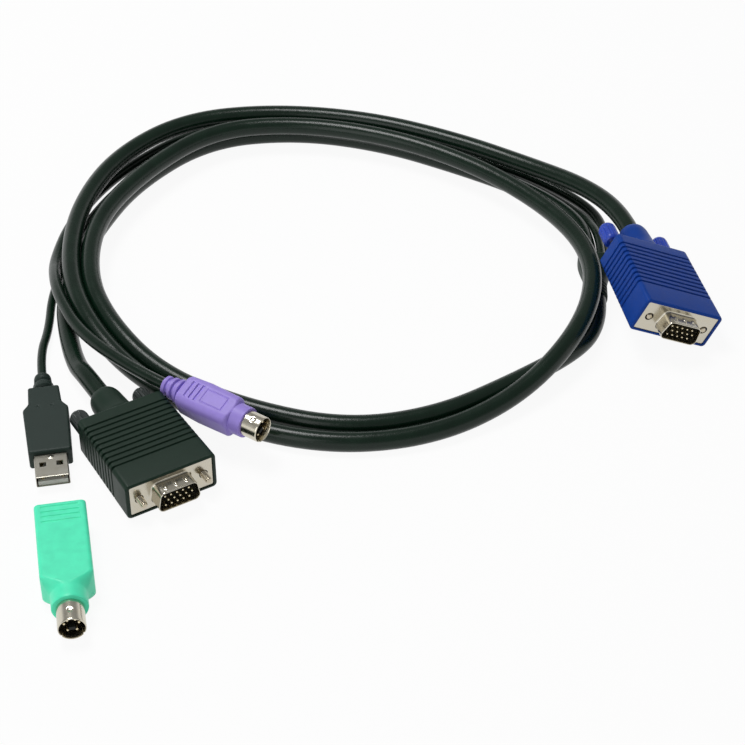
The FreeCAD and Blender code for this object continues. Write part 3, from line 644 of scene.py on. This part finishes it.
relief_r = np.append(relief_r, 2.4)
relief = rings(relief_y, relief_r[:, None], ps2_angle)
collar = rings(collar_y, collar_r[:, None], ps2_angle)
made = build("ps2_grip", [skin(np.concatenate([collar, violet_grip, relief]))], ps2_at)
fit(made, violet, "harness", "ps2_hood")


# Green adapter
# A separate moulding that turns the USB plug into a mini-DIN plug: a flat box with four grooves by its USB
# socket, drawn in by soft shoulders to a round barrel that carries the skirt.
mint = moulding("mint_satin_plastic", (0.09, 0.9, 0.54), 0.4, 0.35)
barrel_r = 6.25
box_half_w = 8.9
box_corner = 1.4
adapter_end = 45.6
box_groove_depth = 0.34
mint_angle = spokes(box_half_w, barrel_r, box_corner, 10, 30)
nose_y = np.array([3.5, 0.2, 0.0, 0.0, 0.2, 0.7])
nose_r = np.array([4.46, 4.46, 4.7, 5.7, 6.05, barrel_r])
draw_y = np.linspace(1.2, 11.8, 46)
soft = smooth((draw_y - 5.6) / 5.8)
box_y = np.concatenate([np.linspace(12.4, 33.0, 12), np.linspace(33.2, 44.8, 110), [45.1, 45.4, adapter_end]])
trim = np.concatenate([np.zeros(122), [0.06, 0.22, 0.55]])
mint_y = np.concatenate([draw_y, box_y])
mint_w = np.concatenate([barrel_r + (box_half_w - barrel_r) * soft, box_half_w - trim])
mint_h = np.concatenate([np.full_like(draw_y, barrel_r), barrel_r - trim])
round_corner = barrel_r - 0.01
drawn_corner = round_corner - (round_corner - box_corner) * soft
mint_corner = np.concatenate([drawn_corner, np.full_like(box_y, box_corner)])
mint_body = rings(mint_y, rounded(mint_w, mint_h, mint_corner, mint_angle), mint_angle)
flat = np.clip((6.7 - np.abs(mint_body[:, :, 0])) / 0.3, 0.0, 1.0)
for groove_mid in (36.35, 38.75, 41.15, 43.55):
    dip = np.clip((0.5 - np.abs(mint_y - groove_mid)) / 0.26, 0.0, 1.0)[:, None]
    height = mint_body[:, :, 2]
    mint_body[:, :, 2] -= np.where(np.abs(height) > 6.1, np.sign(height) * box_groove_depth * dip * flat, 0.0)
mouth_y = np.array([adapter_end, 45.45, 33.1])
mouth_reach = rounded(np.array([6.8, 6.6, 6.6]), np.array([3.05, 2.85, 2.85]), 0.5, mint_angle)
mouth = rings(mouth_y, mouth_reach, mint_angle)
nose = rings(nose_y, nose_r[:, None], mint_angle)
made = build("adapter_moulding", [skin(np.concatenate([nose, mint_body, mouth]))], adapter_at)
fit(made, mint, "harness", "adapter_body")
coat(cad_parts["adapter_socket"], usb_steel)
coat(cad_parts["adapter_tongue"], tongue_white)
coat(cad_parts["adapter_contacts"], gold)


# Breakout
# Where the trunk ends, a flat PVC boot is moulded over the split. It starts as round as the trunk and fans
# out to the three leads, with a few grip rings at its narrow end.
boot_at = lie(100.2, -12.0, 4.3, -3.0)
boot_r = 4.3
boot_end = 26.0
boot_angle = spokes(7.0, boot_r, 2.6, 10, 16)
boot_y = np.concatenate([[0.0, 0.05, 0.4], np.linspace(0.8, 25.4, 100), [25.7, 25.95, boot_end]])
soft = smooth((boot_y - 7.0) / 17.0)
pinch = np.zeros_like(boot_y)
for ring in (2.4, 4.4, 6.4):
    pinch += 0.45 * np.clip((0.6 - np.abs(boot_y - ring)) / 0.25, 0.0, 1.0)
trim = np.concatenate([[0.35, 0.2, 0.05], np.zeros(100), [0.08, 0.22, 0.4]]) + pinch
boot_w = boot_r + 2.65 * soft - trim
boot_h = boot_r - trim
boot_corner = np.minimum(3.75 - 0.9 * soft, boot_h - 0.02)
boot = rings(boot_y, rounded(boot_w, boot_h, boot_corner, boot_angle), boot_angle)
boot[:, :, 0] += (0.1 * soft)[:, None]
made = build("breakout_moulding", [skin(boot)], boot_at)
fit(made, black, "harness", "breakout_boot")


# Trunk and leads
# Extruded PVC jackets over twisted cores, glossy and faintly rippled by the cores under them. They keep the
# set of the drum they came from, so the trunk lies in two loose turns with the three leads beside it.
def jacket(name, roughness):
    """Glossy black jacket with an uneven shine and low, wide ripples."""
    shader = Shader(bpy.data.materials.new(name))
    shine = shader.noise(150.0, 2.0)
    ripple = shader.noise(420.0, 2.0)
    dust = shader.noise(4200.0, 1.0)
    return shader.surface(
        Base_Color=shader.between(shine, (0.0016, 0.0092, 0.0044), (0.0036, 0.0175, 0.0088)),
        Roughness=roughness - 0.05 + 0.1 * shine + 0.05 * dust,
        Specular_IOR_Level=0.3,
        Normal=shader.relief(ripple, 0.00005),
    )


cable_black = jacket("black_cable_jacket", 0.24)


def end_of(at, y, x=0.0, z=0.0):
    """Point of a plug, given in the plug's own frame, as it lies in the part's frame, in millimetres."""
    return np.array(at @ Vector((x, y, z)))


def lay_cable(name, first, between, last, diameter, node):
    """Round section carried along one smooth line that is drawn by the route's corner points."""
    points = np.concatenate([first, loop_centre + np.array(between), last]) * MM
    curve = bpy.data.curves.new(name, "CURVE")
    curve.dimensions = "3D"
    spline = curve.splines.new("NURBS")
    spline.points.add(len(points) - 1)
    spline.points.foreach_set("co", np.c_[points, np.ones(len(points))].ravel())
    spline.order_u = 3
    spline.use_endpoint_u = True
    curve.resolution_u = 12
    curve.bevel_depth = diameter / 2 * MM
    curve.bevel_resolution = 7
    curve.use_fill_caps = True
    made = bpy.data.objects.new(name, curve)
    bpy.context.scene.collection.objects.link(made)
    return fit(made, cable_black, "harness", node)


straight = 14.0
video_out = (-2.6, -0.6)
usb_out = (2.4, 2.35)
ps2_out = (4.2, -1.9)
trunk = lay_cable(
    "trunk",
    [end_of(console_at, relief_end), end_of(console_at, relief_end + straight)],
    [
        (100.2, 50, 15.6), (79, 70, 12.4), (48, 91, 11.8), (10, 108, 11.8), (-32, 114, 11.8),
        (-70, 107, 11.8), (-96.5, 79.5, 11.7), (-108.6, 43, 11.6), (-109, 5, 11.6), (-100.5, -29, 11.4),
        (-80.5, -58, 6.5), (-49, -82, 3.75), (-8, -98, 3.75), (32, -94, 3.75), (64.5, -74.5, 5.5),
        (88, -47.5, 12.2), (99, -15, 12.7), (97.4, 14, 12.6), (82, 44, 11.8), (54, 73.5, 11.8),
        (18, 95, 11.8), (-22, 104.5, 11.8), (-58, 99, 11.8), (-84.5, 67.5, 11.8), (-100.5, 33, 11.7),
        (-100.5, -5, 11.6), (-89.5, -33, 9.5), (-68, -58.5, 4.5), (-35, -78, 3.75), (2, -89.2, 3.75),
        (36, -82.2, 3.75), (66.5, -62, 3.75), (91, -42.8, 4.0),
    ],
    [end_of(boot_at, -straight), end_of(boot_at, 0.0)],
    7.5,
    "trunk_cable",
)
video = lay_cable(
    "video_lead",
    [end_of(boot_at, boot_end, *video_out), end_of(boot_at, boot_end + straight, *video_out)],
    [
        (94.6, 46, 3.7), (76, 66, 3.7), (50, 83, 3.7), (16, 101.5, 3.7), (-22, 110.5, 3.7), (-60, 104, 3.7),
        (-88.5, 71, 3.7), (-102, 36, 3.7), (-106.4, 12, 3.7), (-109, -12, 3.7), (-105.5, -33, 3.7),
        (-100, -53, 4.5),
    ],
    [end_of(computer_at, relief_end + straight), end_of(computer_at, relief_end)],
    7.4,
    "video_branch",
)
usb_lead = lay_cable(
    "usb_lead",
    [end_of(boot_at, boot_end, *usb_out), end_of(boot_at, boot_end + straight, *usb_out)],
    [
        (100.6, 48.3, 1.9), (80.5, 70.5, 1.7), (53.5, 88, 1.7), (18, 107.3, 1.7), (-22.5, 116.5, 1.7),
        (-64, 109.3, 1.7), (-94, 75, 1.7), (-108.5, 40, 1.7), (-112.5, 14, 1.7), (-115, -7, 1.7),
        (-113.5, -28, 1.8),
    ],
    [end_of(usb_at, usb_end + straight), end_of(usb_at, usb_end)],
    3.4,
    "usb_branch",
)
ps2_lead = lay_cable(
    "ps2_lead",
    [end_of(boot_at, boot_end, *ps2_out), end_of(boot_at, boot_end + straight, *ps2_out)],
    [
        (106.6, 49.5, 2.3), (84.3, 74.3, 2.3), (56, 92.3, 2.3), (19.5, 112.2, 2.3), (-23, 121.3, 2.3),
        (-67, 114, 2.3), (-98.5, 79, 2.3), (-113, 44.5, 2.3), (-116.5, 15, 3.2), (-113.5, -5, 9.0),
        (-109, -21.5, 11.5), (-98.6, -44.4, 12.8),
    ],
    [end_of(ps2_at, ps2_end + straight), end_of(ps2_at, ps2_end)],
    4.6,
    "ps2_branch",
)


# Table, light and camera
# White table in a white room with a darker ceiling, so that tops don't mirror plain white. A soft light hangs
# above and behind, a weaker one stands in front on the left, and the camera looks down from the front.
def showing(shader):
    """1 for what is seen straight, in a mirror or through glass, and 0 for light on its way to a thing."""
    path = shader.tree.nodes.new("ShaderNodeLightPath")
    seen = Value(shader, path.outputs["Is Camera Ray"]).above(Value(shader, path.outputs["Is Glossy Ray"]))
    return seen.above(Value(shader, path.outputs["Is Transmission Ray"]))


def table_top():
    """White table: matt where light falls on it, and nearly its own white where it is seen."""
    shader = Shader(bpy.data.materials.new("white_table"))
    matt = shader.node("ShaderNodeBsdfDiffuse", {"Color": (0.86, 0.86, 0.86, 1.0)})
    glow = shader.node("ShaderNodeEmission", {"Color": (1.0, 1.0, 1.0, 1.0), "Strength": 1.0})
    mixed = shader.node("ShaderNodeMixShader", {0: showing(shader) * 0.93, 1: matt, 2: glow})
    shader.tree.links.new(mixed.socket, shader.tree.nodes["Material Output"].inputs["Surface"])
    return shader.owner


table_mesh = bpy.data.meshes.new("table")
table_mesh.from_pydata([(-3, -3, 0), (3, -3, 0), (3, 3, 0), (-3, 3, 0)], [], [(0, 1, 2, 3)])
table_mesh.materials.append(table_top())
table = bpy.data.objects.new("table", table_mesh)
bpy.context.scene.collection.objects.link(table)

world = bpy.data.worlds.new("white_room")
bpy.context.scene.world = world
room = Shader(world)
skyward = room.node("ShaderNodeTexCoord", {}, output="Generated")
height = room.node("ShaderNodeSeparateXYZ", {0: skyward}, output="Z")
ceiling_rise = {0: height, 1: 0.15, 2: 0.5}
ceiling = room.node("ShaderNodeMapRange", ceiling_rise, {"interpolation_type": "SMOOTHSTEP"})
strength = (0.55 + 0.45 * showing(room)) * (1.0 - 0.68 * ceiling)
room.feed(room.tree.nodes["Background"], {"Color": (1.0, 1.0, 1.0, 1.0), "Strength": strength})


def lamp(name, place, size, watts):
    """Square soft light at a place, in metres, turned to look at the part's origin."""
    light = bpy.data.lights.new(name, "AREA")
    light.size = size
    light.energy = watts
    made = bpy.data.objects.new(name, light)
    made.location = place
    made.rotation_euler = (-Vector(place)).to_track_quat("-Z", "Y").to_euler()
    bpy.context.scene.collection.objects.link(made)


lamp("key", (-0.3, 0.25, 1.0), 0.4, 7.0)
lamp("fill", (-0.6, -0.7, 0.55), 0.7, 2.5)

picture_w = 745.0
focal_pixels = 2003.45
looks_down = 39.32
camera = bpy.data.cameras.new("camera")
camera.sensor_width = 36.0
camera.lens = camera.sensor_width * focal_pixels / picture_w
viewer = bpy.data.objects.new("camera", camera)
viewer.location = (-0.00297, -0.5529, 0.48137)
viewer.rotation_euler = (math.radians(90.0 - looks_down), 0.0, 0.0)
bpy.context.scene.collection.objects.link(viewer)
bpy.context.scene.camera = viewer
bpy.context.scene.view_settings.view_transform = "Standard"
